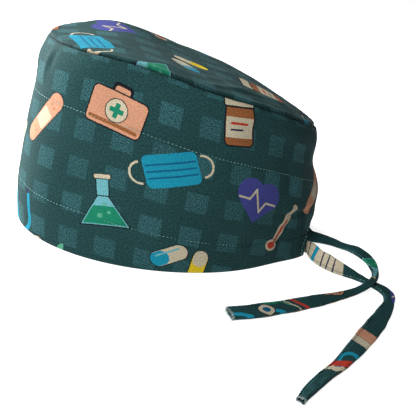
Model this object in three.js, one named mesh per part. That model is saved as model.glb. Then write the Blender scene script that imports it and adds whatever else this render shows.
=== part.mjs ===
// A cloth scrub cap that stands on its rim, with two loose ties lying behind it.
// Millimetres, +Z up, front towards -Y, the wearer's left towards +X.
// The origin is on the surface the rim stands on, at the middle of the cap's length and width.
import * as THREE from 'three';

// Overall sizes
const capLength = 230;
const capWidth = 166;
const frontHeight = 136;
const backHeight = 97;
const seamLean = 4.6;
const crownDome = 2;

// Cloth and sewing sizes. seamHold and crownHold are the shares of the band's height and of
// the top panel's reach that the seam holds free of dents. gatherStart is a share of the height.
const clothWall = 1.6;
const hemWall = 1.2;
const pieceGap = 0.3;
const hemFront = 30;
const hemBack = 18;
const dentDepth = 4.5;
const gatherDepth = 1.8;
const seamHold = 0.12;
const gatherStart = 0.1;
const crownFullness = 2.5;
const crownHold = 0.15;

// Opening at the centre back, a round-topped arch in the rim
const openingWidth = 82;
const openingHeight = 29;
const openingBow = 9;

// Ties: flat folded strips. rootThickness is a share of tieThickness, pocketSpread and
// pocketEase are the angles either side of the back over which the hem stands open.
const tieWidth = 15;
const tieThickness = 2.4;
const rootThickness = 0.8;
const tieClearance = 1.1;
const pocketSpread = 40;
const pocketEase = 14;

// Mesh fineness: columns round the cap and rows up it. leastHemShare is the hem's least share
// of the height over the opening, casingEndShare is where the opening's edge ends the casing.
const openingColumns = 16;
const backColumns = 12;
const sideColumns = 54;
const backSpread = 52;
const hemRows = 2;
const wallRows = 8;
const crownRings = 6;
const ringCrowding = 1.2;
const leastHemShare = 0.06;
const casingEndShare = 0.75;
const tieSteps = 60;

// Level sections of the side band. up is a share of the band's height at that place.
// wide is a share of half the cap's width, front and back are shares of half its length.
const sections = [
  { up: 0.0, wide: 0.936, front: 0.948, back: 1.050 },
  { up: 0.1, wide: 0.938, front: 0.959, back: 1.048 },
  { up: 0.25, wide: 0.952, front: 0.960, back: 1.039 },
  { up: 0.5, wide: 0.982, front: 0.938, back: 1.005 },
  { up: 0.75, wide: 0.996, front: 0.903, back: 0.956 },
  { up: 0.9, wide: 1.0, front: 0.881, back: 0.922 },
  { up: 1.0, wide: 0.994, front: 0.842, back: 0.876 },
];

// Line of the top seam. along is a share of the way from the front to the back,
// high is a share of the way from the back's height to the front's.
const seamLine = [
  { along: 0.0, high: 1.0 },
  { along: 0.25, high: 1.02 },
  { along: 0.5, high: 0.775 },
  { along: 0.75, high: 0.48 },
  { along: 1.0, high: 0.0 },
];

// Dents of the side band. around is in degrees from the front towards the wearer's left,
// up and tall are shares of the height, wide is in degrees, deep is a share of dentDepth.
const dents = [
  { around: 172, up: 0.73, wide: 26, tall: 0.12, deep: 1.0 },
  { around: 172, up: 0.47, wide: 24, tall: 0.1, deep: -0.35 },
  { around: 208, up: 0.55, wide: 16, tall: 0.13, deep: 0.6 },
  { around: 128, up: 0.62, wide: 12, tall: 0.3, deep: 0.35 },
  { around: 134, up: 0.0, wide: 20, tall: 0.22, deep: 0.7 },
  { around: 148, up: 0.0, wide: 14, tall: 0.24, deep: -1.1 },
  { around: 232, up: 0.6, wide: 12, tall: 0.3, deep: 0.35 },
  { around: 40, up: 0.5, wide: 18, tall: 0.25, deep: 0.18 },
  { around: 318, up: 0.45, wide: 20, tall: 0.25, deep: 0.22 },
];

// Soft gathers that rise from the hem at the back. around is in degrees from the front,
// wide is in degrees, high is a share of the height, deep is a share of gatherDepth.
const gathers = [
  { around: 139, wide: 3.2, high: 0.34, deep: 0.6 },
  { around: 147, wide: 2.8, high: 0.42, deep: 0.9 },
  { around: 155, wide: 2.6, high: 0.36, deep: 1.0 },
  { around: 163, wide: 2.8, high: 0.5, deep: 0.8 },
  { around: 197, wide: 2.8, high: 0.46, deep: 0.9 },
  { around: 205, wide: 2.6, high: 0.38, deep: 1.0 },
  { around: 214, wide: 3.0, high: 0.42, deep: 0.8 },
  { around: 222, wide: 3.2, high: 0.32, deep: 0.6 },
];

// Soft hollows of the top panel. x is a share of half the width, y of half the length.
const crownHollows = [
  { x: 0.28, y: 0.38, wide: 0.2, long: 0.24, deep: 0.7 },
  { x: -0.3, y: 0.1, wide: 0.26, long: 0.3, deep: 0.35 },
  { x: 0.35, y: -0.35, wide: 0.24, long: 0.26, deep: 0.3 },
];

// Routes of the ties, from the hem's mouth to the free end. z is the middle of the strip.
// turn is 90 where the strip stands on its edge and 0 where it lies flat.
// wide and thick are shares of the tie's width and thickness.
const leftTieRoute = [
  { x: 48.0, y: 84.6, z: 5.70, turn: 85, wide: 0.68, thick: 0.8 },
  { x: 44.7, y: 91.4, z: 5.70, turn: 86, wide: 0.68, thick: 0.8 },
  { x: 41.1, y: 95.7, z: 5.70, turn: 79, wide: 0.68, thick: 0.8 },
  { x: 38.2, y: 98.7, z: 5.50, turn: 90, wide: 0.68, thick: 0.8 },
  { x: 37.3, y: 101.5, z: 5.35, turn: 90, wide: 0.66, thick: 0.85 },
  { x: 38.9, y: 104.2, z: 5.41, turn: 86, wide: 0.66, thick: 0.9 },
  { x: 42.6, y: 105.4, z: 5.77, turn: 76, wide: 0.70, thick: 0.95 },
  { x: 47.4, y: 105.9, z: 5.96, turn: 66, wide: 0.74, thick: 1 },
  { x: 54.4, y: 107.7, z: 5.75, turn: 58, wide: 0.75, thick: 1 },
  { x: 60.9, y: 112.2, z: 5.67, turn: 52, wide: 0.78, thick: 1 },
  { x: 66.6, y: 117.5, z: 5.07, turn: 46, wide: 0.72, thick: 1 },
  { x: 70.6, y: 124.1, z: 3.90, turn: 36, wide: 0.58, thick: 1 },
  { x: 73.7, y: 129.4, z: 2.82, turn: 20, wide: 0.50, thick: 1.05 },
  { x: 78.1, y: 134.7, z: 2.01, turn: 6, wide: 0.44, thick: 1.1 },
  { x: 81.9, y: 138.8, z: 1.67, turn: 0, wide: 0.42, thick: 1.1 },
  { x: 85.8, y: 142.7, z: 1.67, turn: 0, wide: 0.52, thick: 1.1 },
  { x: 90.1, y: 146.0, z: 1.61, turn: 0, wide: 0.68, thick: 1.05 },
  { x: 96.8, y: 147.3, z: 1.55, turn: 0, wide: 0.63, thick: 1 },
  { x: 107.7, y: 142.7, z: 1.55, turn: 0, wide: 0.51, thick: 1 },
  { x: 118.5, y: 134.4, z: 1.55, turn: 0, wide: 0.69, thick: 1 },
  { x: 133.8, y: 121.0, z: 1.55, turn: 0, wide: 0.84, thick: 1 },
  { x: 147.9, y: 107.5, z: 1.55, turn: 0, wide: 0.85, thick: 1 },
  { x: 162.2, y: 93.4, z: 1.67, turn: 0, wide: 0.76, thick: 1.1 },
  { x: 176.5, y: 78.3, z: 1.79, turn: 0, wide: 0.60, thick: 1.2 },
  { x: 186.4, y: 65.8, z: 1.91, turn: 0, wide: 0.53, thick: 1.3 },
  { x: 195.6, y: 55.0, z: 2.03, turn: 0, wide: 0.51, thick: 1.4 },
  { x: 202.8, y: 47.4, z: 2.15, turn: 0, wide: 0.44, thick: 1.5 },
  { x: 208.0, y: 42.5, z: 2.27, turn: 0, wide: 0.36, thick: 1.6 },
];
const rightTieRoute = [
  { x: -47.8, y: 84.4, z: 5.80, turn: 85, wide: 0.68, thick: 0.8 },
  { x: -43.3, y: 90.1, z: 5.80, turn: 86, wide: 0.68, thick: 0.8 },
  { x: -38.9, y: 94.5, z: 5.80, turn: 84, wide: 0.68, thick: 0.8 },
  { x: -34.8, y: 98.8, z: 5.80, turn: 88, wide: 0.68, thick: 0.8 },
  { x: -28.6, y: 101.6, z: 5.50, turn: 90, wide: 0.68, thick: 0.9 },
  { x: -20.6, y: 105.2, z: 5.50, turn: 90, wide: 0.68, thick: 0.95 },
  { x: -11.0, y: 108.2, z: 5.50, turn: 90, wide: 0.68, thick: 0.95 },
  { x: -2.0, y: 110.0, z: 5.50, turn: 90, wide: 0.68, thick: 1 },
  { x: 7.0, y: 111.2, z: 5.52, turn: 89, wide: 0.68, thick: 1 },
  { x: 14.4, y: 112.4, z: 5.46, turn: 88, wide: 0.67, thick: 1 },
  { x: 19.4, y: 113.6, z: 5.15, turn: 88, wide: 0.63, thick: 1 },
  { x: 21.7, y: 120.8, z: 4.63, turn: 88, wide: 0.56, thick: 1 },
  { x: 25.2, y: 131.0, z: 3.75, turn: 84, wide: 0.44, thick: 1 },
  { x: 29.2, y: 136.9, z: 3.27, turn: 76, wide: 0.36, thick: 1.05 },
  { x: 32.7, y: 142.5, z: 3.27, turn: 50, wide: 0.36, thick: 1.1 },
  { x: 36.8, y: 147.8, z: 3.17, turn: 24, wide: 0.53, thick: 1.1 },
  { x: 43.2, y: 152.2, z: 2.27, turn: 8, wide: 0.65, thick: 1.05 },
  { x: 52.0, y: 153.7, z: 1.55, turn: 0, wide: 0.56, thick: 1 },
  { x: 65.5, y: 150.8, z: 1.95, turn: 0, wide: 0.36, thick: 1 },
  { x: 78.8, y: 143.9, z: 3.95, turn: 0, wide: 0.36, thick: 1 },
  { x: 87.5, y: 136.6, z: 4.95, turn: 0, wide: 0.36, thick: 1 },
  { x: 91.8, y: 130.4, z: 4.35, turn: 0, wide: 0.36, thick: 1 },
  { x: 94.5, y: 123.9, z: 2.55, turn: 0, wide: 0.40, thick: 1 },
  { x: 97.8, y: 115.4, z: 1.65, turn: 0, wide: 0.46, thick: 1 },
  { x: 101.7, y: 105.5, z: 1.55, turn: 0, wide: 0.55, thick: 1 },
  { x: 105.9, y: 94.8, z: 1.61, turn: 0, wide: 0.71, thick: 1.05 },
  { x: 111.1, y: 80.4, z: 1.67, turn: 0, wide: 0.82, thick: 1.1 },
  { x: 116.1, y: 65.8, z: 1.73, turn: 0, wide: 0.85, thick: 1.15 },
  { x: 120.8, y: 50.3, z: 1.79, turn: 0, wide: 0.88, thick: 1.2 },
  { x: 125.1, y: 34.1, z: 1.91, turn: 0, wide: 0.85, thick: 1.3 },
  { x: 127.7, y: 21.4, z: 2.03, turn: 0, wide: 0.80, thick: 1.4 },
];

// Small helpers
const radians = (degrees) => degrees * Math.PI / 180;
const mix = (from, to, share) => from + (to - from) * share;
const bell = (distance) => Math.exp(-distance * distance);

function smooth(share) {
  const held = Math.min(Math.max(share, 0), 1);
  return held * held * (3 - 2 * held);
}

function angleBetween(a, b) {
  return ((a - b + 540) % 360) - 180;
}

// A smooth curve through one column of a table, read at a place of its first column
function tableValue(table, place, column, at) {
  let row = table.length - 2;
  while (row > 0 && table[row][place] > at) row -= 1;
  const here = table[row];
  const next = table[row + 1];
  const before = table[Math.max(row - 1, 0)];
  const after = table[Math.min(row + 2, table.length - 1)];
  const span = next[place] - here[place];
  const slopeHere = (next[column] - before[column]) / (next[place] - before[place]) * span;
  const slopeNext = (after[column] - here[column]) / (after[place] - here[place]) * span;
  const t = (at - here[place]) / span;
  const t2 = t * t;
  const t3 = t2 * t;
  return (2 * t3 - 3 * t2 + 1) * here[column] + (t3 - 2 * t2 + t) * slopeHere
    + (3 * t2 - 2 * t3) * next[column] + (t3 - t2) * slopeNext;
}

const sectionValue = (column, up) => tableValue(sections, 'up', column, up);

const halfWidth = capWidth / 2;
const halfLength = capLength / 2;
const fullestFront = Math.max(...sections.map((row) => row.front));
const backAboveOpening = sectionValue('back', openingHeight / backHeight);
const planMiddle = (fullestFront - backAboveOpening) / 2 * halfLength;

// Plan point of the undented cap
function planPoint(around, up) {
  const side = Math.sin(radians(around));
  const ahead = Math.cos(radians(around));
  const reach = halfLength * sectionValue(ahead > 0 ? 'front' : 'back', up);
  return { x: halfWidth * sectionValue('wide', up) * side, y: planMiddle - reach * ahead };
}

const seamFront = planPoint(0, 1).y;
const seamBack = planPoint(180, 1).y;

// Height of the top seam's surface over a place of the plan
function seamHeight(x, y) {
  const along = THREE.MathUtils.clamp((y - seamFront) / (seamBack - seamFront), 0, 1);
  const high = tableValue(seamLine, 'along', 'high', along);
  return mix(backHeight, frontHeight, high) + seamLean * x / halfWidth;
}

function topOf(around) {
  const plan = planPoint(around, 1);
  return seamHeight(plan.x, plan.y) - clothWall;
}

const hemOf = (around) => mix(hemBack, hemFront, (1 + Math.cos(radians(around))) / 2);

// Lower edge of the band: the rim, or the edge of the opening at the back
function edgeOf(around) {
  const fromMiddle = Math.abs(planPoint(around, 0).x) / (openingWidth / 2);
  if (fromMiddle >= 1 || Math.cos(radians(around)) > 0) return 0;
  return openingHeight * (1 - fromMiddle ** openingBow);
}

// How far the dents and gathers pull the cloth in
function dentAt(around, up) {
  const fade = smooth((1 - up) / seamHold);
  let depth = 0;
  for (const dent of dents) {
    const aside = angleBetween(around, dent.around) / dent.wide;
    depth += dentDepth * dent.deep * bell(aside) * bell((up - dent.up) / dent.tall) * fade;
  }
  for (const gather of gathers) {
    const aside = angleBetween(around, gather.around) / gather.wide;
    const rise = smooth(up / gatherStart) * (1 - smooth(up / gather.high));
    depth += gatherDepth * gather.deep * bell(aside) * rise;
  }
  return depth;
}

// Outward direction in plan
function outward(around, up) {
  const ahead = planPoint(around + 1, up);
  const behind = planPoint(around - 1, up);
  return new THREE.Vector2(ahead.y - behind.y, behind.x - ahead.x).normalize();
}

// A point of the wall at a height, a distance inside its outer face
function wallPoint(around, z, inside) {
  const up = z / topOf(around);
  const plan = planPoint(around, up);
  const out = outward(around, up);
  const back = inside + dentAt(around, up);
  return new THREE.Vector3(plan.x - out.x * back, plan.y - out.y * back, z);
}

// Columns round the cap, closer together near the opening and the gathers
function columnAngles() {
  const rimHalfWidth = halfWidth * sections[0].wide;
  const openingEdge = THREE.MathUtils.radToDeg(Math.asin(openingWidth / 2 / rimHalfWidth));
  const angles = [];
  for (let k = 0; k < sideColumns; k += 1) {
    angles.push(mix(180 + backSpread, 540 - backSpread, k / sideColumns));
  }
  for (let k = 0; k < backColumns; k += 1) {
    angles.push(mix(540 - backSpread, 540 - openingEdge, k / backColumns));
  }
  for (let k = 0; k < openingColumns; k += 1) {
    angles.push(mix(540 - openingEdge, 540 + openingEdge, smooth(k / openingColumns)));
  }
  for (let k = 0; k < backColumns; k += 1) {
    angles.push(mix(540 + openingEdge, 540 + backSpread, k / backColumns));
  }
  return angles.map((angle) => angle % 360);
}

const columns = columnAngles();

// Rows of the band over one column: the hem first, then the wall up to the seam
function bandHeights(around) {
  const edge = edgeOf(around);
  const hem = Math.max(hemOf(around), mix(edge, topOf(around), leastHemShare));
  const top = topOf(around) - pieceGap;
  const heights = [];
  for (let row = 0; row < hemRows; row += 1) heights.push(mix(edge, hem, row / hemRows));
  for (let row = 0; row <= wallRows; row += 1) heights.push(mix(hem, top, row / wallRows));
  return heights;
}

// Build a closed solid from faces over shared points
function solid(points, faces, name, color) {
  const geometry = new THREE.BufferGeometry();
  const flat = [];
  for (const point of points) flat.push(point.x, point.y, point.z);
  geometry.setAttribute('position', new THREE.Float32BufferAttribute(flat, 3));
  geometry.setIndex(faces.flat());
  geometry.computeVertexNormals();
  const material = new THREE.MeshStandardMaterial({ color, roughness: 0.9, metalness: 0 });
  const mesh = new THREE.Mesh(geometry, material);
  mesh.name = name;
  return mesh;
}

// Two triangles over four corners, seen anticlockwise from outside
const quad = (a, b, c, d) => [[a, b, c], [a, c, d]];

// A wall between an outer and an inner grid, rows upwards and columns anticlockwise.
// A ring closes on itself and a strip is closed at its two ends.
function wallSolid(outer, inner, ring, name, color) {
  const rows = outer.length;
  const count = outer[0].length;
  const points = [...outer.flat(), ...inner.flat()];
  const out = (row, column) => row * count + column % count;
  const inn = (row, column) => rows * count + out(row, column);
  const faces = [];
  const last = ring ? count : count - 1;
  for (let c = 0; c < last; c += 1) {
    for (let r = 0; r < rows - 1; r += 1) {
      faces.push(...quad(out(r, c), out(r, c + 1), out(r + 1, c + 1), out(r + 1, c)));
      faces.push(...quad(inn(r, c), inn(r + 1, c), inn(r + 1, c + 1), inn(r, c + 1)));
    }
    faces.push(...quad(out(0, c), inn(0, c), inn(0, c + 1), out(0, c + 1)));
    const top = rows - 1;
    faces.push(...quad(out(top, c), out(top, c + 1), inn(top, c + 1), inn(top, c)));
  }
  if (!ring) {
    for (let r = 0; r < rows - 1; r += 1) {
      faces.push(...quad(out(r, 0), out(r + 1, 0), inn(r + 1, 0), inn(r, 0)));
      faces.push(...quad(out(r, last), inn(r, last), inn(r + 1, last), out(r + 1, last)));
    }
  }
  return solid(points, faces, name, color);
}

// The side band: one hollow wall from the rim to the top seam
function sideBand() {
  const heights = columns.map(bandHeights);
  const rows = hemRows + wallRows + 1;
  const grid = (inside) => Array.from({ length: rows }, (_, row) => (
    columns.map((around, c) => wallPoint(around, heights[c][row], inside))));
  return wallSolid(grid(0), grid(clothWall), true, 'side_band', 0x2b4f50);
}

// How far the turned-up layer stands off the band to leave room for the ties
function pocketAt(around) {
  const fromBack = Math.abs(angleBetween(around, 180));
  const room = tieThickness * rootThickness + 2 * tieClearance - pieceGap;
  return room * (1 - smooth((fromBack - pocketSpread) / pocketEase));
}

// The turned-up layer of the hem, inside the band, open at the back
function hemCasing() {
  const lowEnough = (around) => edgeOf(around) < hemOf(around) * casingEndShare;
  const around = columns.filter(lowEnough);
  const farSide = around.filter((angle) => angle > 180).sort((a, b) => a - b);
  const nearSide = around.filter((angle) => angle <= 180).sort((a, b) => a - b);
  const ordered = [...farSide, ...nearSide];
  const grid = (inside) => Array.from({ length: hemRows + 1 }, (_, row) => (
    ordered.map((angle) => {
      const z = mix(edgeOf(angle), hemOf(angle), row / hemRows);
      return wallPoint(angle, z, inside + pocketAt(angle));
    })));
  const face = clothWall + pieceGap;
  return wallSolid(grid(face), grid(face + hemWall), false, 'hem_casing', 0x35595a);
}

// Height of the top panel's underside
function crownHeight(x, y, share) {
  let z = seamHeight(x, y) - clothWall + crownDome * (1 - share ** crownFullness);
  for (const hollow of crownHollows) {
    const across = (x / halfWidth - hollow.x) / hollow.wide;
    const along = (y / halfLength - hollow.y) / hollow.long;
    z -= crownDome * hollow.deep * bell(across) * bell(along) * smooth((1 - share) / crownHold);
  }
  return z;
}

// The top panel: a low domed sheet over the band's upper edge
function crownTop() {
  const edge = columns.map((around) => wallPoint(around, topOf(around), 0));
  const count = columns.length;
  const points = [];
  for (const lift of [clothWall, 0]) {
    for (let ring = 0; ring < crownRings; ring += 1) {
      const share = 1 - (ring / crownRings) ** ringCrowding;
      for (const point of edge) {
        const x = point.x * share;
        const y = mix(planMiddle, point.y, share);
        points.push(new THREE.Vector3(x, y, crownHeight(x, y, share) + lift));
      }
    }
    points.push(new THREE.Vector3(0, planMiddle, crownHeight(0, planMiddle, 0) + lift));
  }
  const half = crownRings * count + 1;
  const upper = (ring, c) => ring * count + c % count;
  const lower = (ring, c) => half + upper(ring, c);
  const peak = half - 1;
  const faces = [];
  for (let c = 0; c < count; c += 1) {
    for (let ring = 0; ring < crownRings - 1; ring += 1) {
      const next = ring + 1;
      faces.push(...quad(upper(ring, c), upper(ring, c + 1), upper(next, c + 1), upper(next, c)));
      faces.push(...quad(lower(ring, c), lower(next, c), lower(next, c + 1), lower(ring, c + 1)));
    }
    const inner = crownRings - 1;
    faces.push([upper(inner, c), upper(inner, c + 1), peak]);
    faces.push([lower(inner, c + 1), lower(inner, c), half + peak]);
    faces.push(...quad(lower(0, c), lower(0, c + 1), upper(0, c + 1), upper(0, c)));
  }
  return solid(points, faces, 'crown_top', 0x34605f);
}

// Outline of a tie across its length, as shares of its half width and half thickness
const tieSection = [
  [1, 0], [0.9, 0.8], [0.45, 1], [-0.45, 1], [-0.9, 0.8],
  [-1, 0], [-0.9, -0.8], [-0.45, -1], [0.45, -1], [0.9, -0.8],
];

// A flat strip along a route, turned and widened as the route's table says
function tie(route, name) {
  const curve = new THREE.CatmullRomCurve3(
    route.map((row) => new THREE.Vector3(row.x, row.y, row.z)), false, 'centripetal');
  const points = [];
  for (let step = 0; step <= tieSteps; step += 1) {
    const t = step / tieSteps * (route.length - 1);
    const k = Math.min(Math.floor(t), route.length - 2);
    const blend = (column) => mix(route[k][column], route[k + 1][column], t - k);
    const middle = curve.getPoint(step / tieSteps);
    const run = curve.getTangent(step / tieSteps);
    const level = new THREE.Vector3(-run.y, run.x, 0).normalize();
    const rise = new THREE.Vector3().crossVectors(run, level);
    const turn = radians(blend('turn'));
    const across = level.clone().multiplyScalar(Math.cos(turn)).addScaledVector(rise, Math.sin(turn));
    const through = new THREE.Vector3().crossVectors(run, across);
    const halfAcross = tieWidth / 2 * blend('wide');
    const halfThrough = tieThickness / 2 * blend('thick');
    for (const [a, b] of tieSection) {
      points.push(middle.clone().addScaledVector(across, a * halfAcross)
        .addScaledVector(through, b * halfThrough));
    }
  }
  const count = tieSection.length;
  const faces = [];
  for (let step = 0; step < tieSteps; step += 1) {
    for (let k = 0; k < count; k += 1) {
      const next = (k + 1) % count;
      const here = step * count;
      const there = here + count;
      faces.push(...quad(here + k, here + next, there + next, there + k));
    }
  }
  const end = tieSteps * count;
  for (let k = 1; k < count - 1; k += 1) {
    faces.push([0, k + 1, k]);
    faces.push([end, end + k, end + k + 1]);
  }
  return solid(points, faces, name, 0x27484a);
}

const cap = new THREE.Group();
cap.add(sideBand());
cap.add(hemCasing());
cap.add(crownTop());
cap.add(tie(leftTieRoute, 'tie_left'));
cap.add(tie(rightTieRoute, 'tie_right'));

export default cap;
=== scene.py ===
import math

import bpy
import numpy as np
from mathutils import Matrix, Vector


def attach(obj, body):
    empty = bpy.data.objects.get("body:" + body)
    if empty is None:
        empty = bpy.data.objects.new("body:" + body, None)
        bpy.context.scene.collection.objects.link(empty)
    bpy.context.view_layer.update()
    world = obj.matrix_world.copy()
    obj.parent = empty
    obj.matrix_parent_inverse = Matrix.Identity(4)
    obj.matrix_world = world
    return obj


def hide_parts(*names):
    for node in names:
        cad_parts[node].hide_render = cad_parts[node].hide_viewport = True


# A cloth scrub cap on a pale floor. Sizes are in millimetres until a mesh is made.
# Front towards -Y, the wearer's left towards +X, the rim on z = 0.

MM = 0.001

# Overall sizes and sewing sizes, the same as the frame's
CAP_LENGTH = 230.0
CAP_WIDTH = 166.0
FRONT_HEIGHT = 136.0
BACK_HEIGHT = 97.0
SEAM_LEAN = 4.6
CROWN_DOME = 2.0
SEAT_WALL = 1.6
DENT_DEPTH = 4.5
GATHER_DEPTH = 1.8
OPENING_WIDTH = 82.0
OPENING_HEIGHT = 29.0
OPENING_BOW = 9
TIE_WIDTH = 15.0
TIE_THICKNESS = 2.4

# Shares of the height or reach over which dents, gathers and hollows fade, and the dome's roundness
DENT_FADE, GATHER_START, HOLLOW_FADE = 0.12, 0.1, 0.15
DOME_POWER = 2.5

# Sizes of the cloth as it is seen
CLOTH = 0.9
HEM_CLOTH = 0.8
HEM_INSIDE = 1.9
POCKET_ROOM = 3.82
POCKET_SPREAD = 40.0
POCKET_EASE = 14.0
SEAM_ROLL = 1.9
CHECK_PITCH = (26.75, 26.05)
CHECK_SQUARE = 14.4
CHECK_START = (4.9, -9.7)
PRINT_SCALE = 1.22

# Relief of the panels: where it fades, its puckers, and its growth towards the back
TOP_FADE, RIM_FADE, CROWN_FADE = 10, 6, 14
PUCKER, BACK_PUCKER, PUCKER_START = 0.42, 0.25, 1.2
BAND_PUCKER_REACH, CROWN_PUCKER_REACH = 6, 5
BAND_BACK, BAND_BACK_EASE = 95, 45
CROWN_BACK, CROWN_BACK_EASE = -60, 90
HEM_GATHER, BACK_HEM_GATHER = 0.26, 1.0
HEM_GATHER_REACH, BACK_HEM_GATHER_REACH = 6, 4
BACK_HEM_FURROW = 0.5
UPPER_RIPPLE_REACH = 5
# How much of a crease is left at its ends, and where the hem's painted shade starts above the opening
CREASE_END, HEM_SHADE_CLEAR = 0.35, 2

# Furrows of the stitch lines and the back seam: depth, width, painted shade, width of the painted shade
FURROWS = {
    "hem": (0.35, 0.9, 0.4, 0.7), "inner band": (0.22, 0.8, 0.22, 0.6), "back seam": (0.7, 0.8, 0.6, 0.7),
}

# Random swells: height, slant, stretch, size, seed
SWELLS = {
    "band": [(0.6, 0, 1, 46, 3), (0.34, 0, 0.6, 17, 4)],
    "band puckers": [(1, 0, 0.25, 6.5, 5)],
    "hem gathers": [(1, 0.35, 0, 7.0, 6)],
    "inner band": [(0.14, 0, 0, 8, 7)],
    "hem layer": [(0.35, 0, 1, 14, 11)],
    "crown": [(0.5, 0, 1, 34, 21), (0.18, 0, 1, 13, 22)],
    "crown wrinkles": [(0.34, 0.35, 0.28, 5.5, 24), (0.4, -0.5, 0.4, 12, 25)],
    "crown puckers": [(1, 0, 1, 6.0, 23)],
}
# Swells of a tie: height, stretch and start round its section, size, step of the seed
TIE_SWELLS = {
    "width": (0.04, 0, 0, 9, 0), "ripple": (0.2, 7, 0, 5.5, 1), "wrinkle": (0.12, 7, 40, 2.6, 2),
    "sway": (0.15, 3, 90, 13.0, 3),
}

# The seam between band and top panel: painted shade in its crevice and how far it reaches on the band and on
# the top panel, how the top panel rolls down, how far both turn in
CREVICE_SHADE, BAND_CREVICE_SHADE_REACH, CROWN_CREVICE_SHADE_REACH = 1.1, 0.75, 0.7
CROWN_ROLL, CROWN_ROLL_WIDTH = 2.7, 0.6
CROWN_PULL, CROWN_PULL_WIDTH = 0.7, 1.4
UNDER_SHARE, UNDER_DROP, UNDER_DROP_WIDTH = 0.985, 1.2, 2.0
TOP_TUCK = 0.25

# Columns round the band, and rows of the walls with how far they crowd at both ends
COLUMN_SPREAD = 52.0
PLAIN_COLUMNS, FLARE_COLUMNS, ARCH_COLUMNS = 232, 54, 84
OUTER_ROWS, INNER_ROWS, CROWN_ROWS = (92, 0.78), (60, 0.6), (76, 0.72)

# Rolled edges: share of the cloth inwards, height, share of the wrong side's colour
TOP_EDGE = np.array([(0.1, -0.08, 0.3), (0.45, 0.0, 0.6), (0.8, -0.08, 0.9)])
LOWER_EDGE = np.array([(0.85, 0.13, 0.8), (0.5, 0.0, 0.5), (0.15, 0.13, 0.2)])
CASING_TOP_EDGE = np.array([(0.15, -0.1, 0.7), (0.5, 0.0, 0.4), (0.85, -0.1, 0.2)])
CASING_LOWER_EDGE = np.array([(0.85, 0.15, 0.0), (0.5, 0.0, 0.0), (0.15, 0.15, 0.5)])

# The hem's layer ends where the opening passes this share of the hem, and rises past its stitches
CASING_STOP, CASING_RISE, CASING_ROWS = 0.75, 1.2, 16
CASING_FOOT, CASING_TUCK, CASING_EASE = 0.5, 0.4, 6

# Stitches: clear of the opening, inside its arch, above the rim, out of the cloth, steps of the lines
HEM_STITCH_CLEAR = 3.4
ARCH_STITCH_INSET = 3.0
ARCH_STITCH_START = 2.5
THREAD_RISE = 0.08
HEM_STEPS, ARCH_STEPS, ARCH_CROWDING = 900, 241, 2.2

# Ties: steps along, where they come loose, lowest cloth and seam, raggedness of the cut end
TIE_STEPS = 320
LOOSE_FROM, LOOSE_EASE = 30, 20
TIE_CLEAR, SEAM_CLEAR = 0.06, 0.25
RAGGED, RAGGED_LIP, FRINGE_STEP = 0.7, 0.8, 0.5
# Painted shade in a tie's furrow and inside the slot of its cut end
TIE_FURROW_SHADE, TIE_SLOT_SHADE = 0.55, 0.9
# The seam along a tie: place across its half width, on the face, part of the length that is sewn
TIE_SEAM, SEAM_WIDTH, SEAM_FACE = -0.66, 1.24, 0.93
SEWN_ROWS = slice(24, -6)

# Stitches: step, length, thickness
STITCHES = {
    "hem": (2.7, 1.9, 0.34),
    "inner band": (2.7, 1.7, 0.34),
    "opening": (2.7, 1.9, 0.42),
    "tie": (2.5, 1.6, 0.3),
    "fringe": (0.42, 2.4, 0.16),
}

# Side of the table that the swells are read from
SWELL_TABLE = 128

# Tones: low and high value of a noise, and the shade at each
TONES = {
    "square": (0.0, 1.0, 0.62, 1.0),
    "grain": (0.36, 0.64, 0.6, 1.2),
    "cotton": (0.34, 0.66, 0.74, 1.28),
    "fleck": (0.34, 0.66, 0.8, 1.24),
    "fading": (0.3, 0.7, 0.92, 1.08),
    "thread": (0.3, 0.7, 0.55, 1.1),
}
# Sizes of the noises and weave in millimetres, the thread's in metres, and how strongly they show
EDGE_SIZE, EDGE_REACH = 1 / 0.9, 0.7
SPECKLE_SIZE, FADING_SIZE, WEAVE_SIZE, THREAD_TONE_SIZE = 1.0, 38.0, 0.62, 0.002
LINT_SIZE, LINT_DETAIL, LINT_STRENGTH = 1.6, 3.0, 1.4
SQUARE_SOFTNESS = 0.01
# How strongly the wrong side's colour shows, and how far the painted shade darkens the colour
WRONG_SIDE_SHARE, PAINTED_SHADE_SHARE = 0.72, 0.75
BUMP_STRENGTH, BUMP_DEPTH = 0.45, 0.06

# Surface of the cloth, its thread and the floor
CLOTH_SURFACE = {
    "Roughness": 0.86, "Specular IOR Level": 0.055, "Sheen Weight": 0.01, "Sheen Roughness": 0.45,
}
THREAD_SURFACE = {"Roughness": 0.6, "Specular IOR Level": 0.2}
FLOOR_SURFACE = {
    "Base Color": (0.36, 0.36, 0.36, 1), "Roughness": 0.9, "Specular IOR Level": 0.1,
    "Emission Color": (1, 1, 1, 1), "Emission Strength": 0.88,
}
FLOOR_REACH = 8.0
FLOOR_DROP = 0.0003

# Lights in metres and watts: name, place, size, power. Both aim at a point inside the band.
LIGHTS = [
    ("low_front", (-0.84, -1.0, 0.52), 0.8, 92),
    ("key", (0.72, -0.86, 1.02), 0.8, 36),
]
LIGHT_AIM = (0, 0, 0.06)
WORLD_STRENGTH = 0.05

# The camera, in degrees and metres, and its focal length in picture widths
VIEW_AZIMUTH, VIEW_ELEVATION, VIEW_ROLL = 73.7, 24.5, 11.05
VIEW_DISTANCE = 0.5332
VIEW_TARGET = (0.0161, 0.0265, 0.0215)
SENSOR_WIDTH = 36
FOCAL_WIDTHS = 700 / 416

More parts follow.
